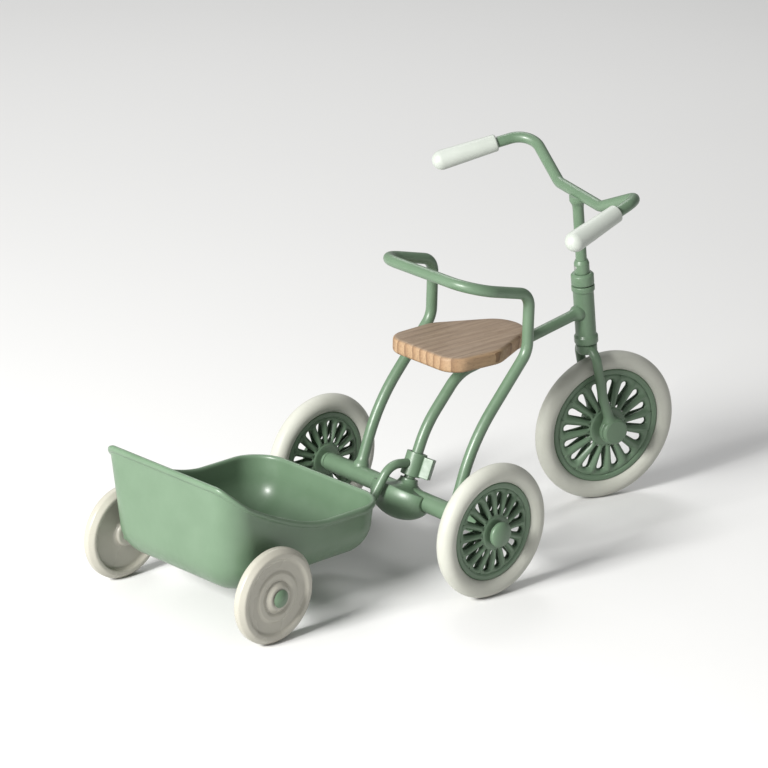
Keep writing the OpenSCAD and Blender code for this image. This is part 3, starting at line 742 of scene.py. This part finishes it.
def rim_height(u):
    """Height of the rim at a distance u along the tub."""
    front = TUB_BACK + TUB_L
    t = np.clip((u - TUB_BACK + 1.5) / SWOOP_LEN, 0, 1)
    z = RIM_SIDE + (RIM_BACK - RIM_SIDE) * (1 - t) ** SWOOP_POWER
    return z + (RIM_FRONT - RIM_SIDE) * np.clip((u - front + 9) / 7, 0, 1)


def plan_point(kind, share, z, grow, sink=0.0):
    """A point on the tub's plan at height z; kind names a corner or side, share runs along it."""
    rise = (z - FLOOR_Z - BOTTOM_R) / (TUB_TOP - FLOOR_Z - BOTTOM_R)
    rise = min(max(rise, 0), 1)
    rear_r = BOTTOM_R + (REAR_CORNER - BOTTOM_R) * rise
    front_r = BOTTOM_R + (FRONT_CORNER - BOTTOM_R) * rise
    level = max(z, FLOOR_Z + BOTTOM_R) - MID_Z
    back = TUB_BACK - REAR_LEAN * level
    front = TUB_BACK + TUB_L + FRONT_LEAN * level
    half = TUB_W / 2 + SIDE_LEAN * level
    corners = [(back + rear_r, -half + rear_r, rear_r, 180), (front - front_r, -half + front_r, front_r, 270),
               (front - front_r, half - front_r, front_r, 0), (back + rear_r, half - rear_r, rear_r, 90)]
    x, y, r, start = corners[kind // 2]
    r += grow - sink
    if kind % 2 == 0:
        a = math.radians(start + 90 * share)
        return x + r * math.cos(a), y + r * math.sin(a)
    x2, y2, r2, _ = corners[(kind // 2 + 1) % 4]
    r2 += grow - sink
    a = math.radians(start + 90)
    p = np.array((x + r * math.cos(a), y + r * math.sin(a)))
    q = np.array((x2 + r2 * math.cos(a), y2 + r2 * math.sin(a)))
    return tuple(p + (q - p) * share)


def tub_stations():
    """(kind, share) of every column of the tub, going round it."""
    out = []
    for kind in range(8):
        count = 14 if kind % 2 == 0 else (36 if kind in (1, 5) else 22)
        out += [(kind, i / count) for i in range(count)]
    return out


def build_tub():
    stations = tub_stations()
    knee = FLOOR_Z + BOTTOM_R
    arc = np.linspace(math.pi / 2, 0, 12)
    walls = 12
    columns = []
    for kind, share in stations:
        u, _ = plan_point(kind, share, 30, 0)
        top = float(rim_height(u))
        col = []

        def put(z, grow, sink=0.0):
            col.append((*plan_point(kind, share, z, grow, sink), z))

        for a in arc[:-1]:
            put(knee - BOTTOM_R * math.sin(a), 0, BOTTOM_R * (1 - math.cos(a)))
        for t in np.linspace(0, 1, walls):
            put(knee + (top - LIP_H - 0.35 - knee) * t, 0)
        for dz, grow in LIP:
            put(top + dz, grow)
        inner_r = BOTTOM_R - SHEET_T
        for t in np.linspace(0, 1, walls)[1:]:
            put(top - 0.6 + (knee - top + 0.6) * t, -SHEET_T)
        for a in arc[::-1][1:]:
            put(knee - inner_r * math.sin(a), -SHEET_T, inner_r * (1 - math.cos(a)))
        columns.append(col)
    rings = len(columns[0])
    verts = [columns[j][i] for i in range(rings) for j in range(len(columns))]
    sides = len(columns)
    faces = grid_faces(rings, sides)
    faces += [tuple(range(sides))[::-1], tuple(range(len(verts) - sides, len(verts)))]
    make("tub_pressing", verts, faces, TRAILER, "trailer", "paint", ["trailer_tub"])


def moulded_wheel(side, word):
    """A moulded disc wheel: stepped rings outside, a hollow back, softly rounded everywhere."""
    h, R = 2.1, TRAILER_R
    profile = [(1.2, -h), (3.6, -h), (3.8, -0.6), (R - 2.8, -0.5), (R - 2.5, -h), (R - 1.3, -h),
               (R, -h + 1.3), (R, h - 1.3), (R - 1.3, h), (R - 2.5, h),
               (R - 3.3, h - 0.75), (R - 6.0, h - 0.75),
               (R - 6.8, h - 0.2), (R - 8.0, h - 0.2), (R - 8.8, h - 0.65), (4.3, h - 0.5), (3.3, h + 0.55),
               (1.2, h + 0.55)]
    base = about((0, side * TRAILER_Y, TRAILER_R), (0, side, 0), TRAILER)
    body = word + "_trailer_wheel"
    rounded = softened(profile, 0.9, 7)
    lathe(body + "_moulding", rounded, base, body, "wheel_plastic", [body], 144, closed=True)


def build_trailer():
    build_tub()
    remeshed("hitch_clip", "clip_pressing", "trailer", "paint", 0.1, 3)
    remeshed("drawbar", "drawbar_rod", "trailer", "paint", 0.13, 5)
    for side, word in ((1, "left"), (-1, "right")):
        moulded_wheel(side, word)


build_frame()
build_seat()
build_rear_wheels()
build_bars()
build_stem()
build_fork()
build_front_wheel()
build_trailer()

# ---------------------------------------------------------------- camera, light and floor

CAMERA_PLACE = (-661.6, -721.5, 399.3)
AZIMUTH, ELEVATION, ROLL = math.radians(-42.14), math.radians(19.59), math.radians(1.56)
LENS, SENSOR = 177.8, 36.0


def set_camera():
    level = math.cos(ELEVATION)
    back = Vector((math.sin(AZIMUTH) * level, -math.cos(AZIMUTH) * level, math.sin(ELEVATION)))
    right = Vector((0, 0, 1)).cross(back).normalized()
    up = back.cross(right)
    r = math.cos(ROLL) * right + math.sin(ROLL) * up
    u = math.cos(ROLL) * up - math.sin(ROLL) * right
    data = bpy.data.cameras.new("camera")
    data.lens = LENS
    data.sensor_width = SENSOR
    data.clip_start = 0.01
    obj = bpy.data.objects.new("camera", data)
    bpy.context.scene.collection.objects.link(obj)
    obj.matrix_world = axes(BODY @ (Vector(CAMERA_PLACE) * MM), r, u, back)
    bpy.context.scene.camera = obj


def soft_light(name, place, size, power, colour=(1, 1, 1)):
    data = bpy.data.lights.new(name, "AREA")
    data.shape = "DISK"
    data.size = size
    data.energy = power
    data.color = colour
    obj = bpy.data.objects.new(name, data)
    bpy.context.scene.collection.objects.link(obj)
    obj.location = place
    aim = Vector((0, 0, 0.04)) - Vector(place)
    obj.rotation_euler = aim.to_track_quat("-Z", "Y").to_euler()


def set_light():
    world = bpy.data.worlds.new("studio")
    bpy.context.scene.world = world
    world.use_nodes = True
    world.node_tree.nodes["Background"].inputs["Color"].default_value = (1, 1, 1, 1)
    world.node_tree.nodes["Background"].inputs["Strength"].default_value = 0.36
    soft_light("key", (-0.80, -0.06, 0.42), 0.26, 15.0, (1.0, 0.995, 0.98))
    soft_light("back", (0.35, 0.55, 0.75), 0.5, 2.5)


def set_colours():
    """Plain display colours, so that painted tones come out as they are set."""
    bpy.context.scene.view_settings.view_transform = "Standard"


def set_floor():
    size = 6.0
    mesh = bpy.data.meshes.new("floor")
    corners = [(-size, -size, 0), (size, -size, 0), (size, size, 0), (-size, size, 0)]
    mesh.from_pydata(corners, [], [(0, 1, 2, 3)])
    obj = bpy.data.objects.new("floor", mesh)
    bpy.context.scene.collection.objects.link(obj)
    mesh.materials.append(pale_floor())


set_camera()
set_light()
set_colours()
set_floor()
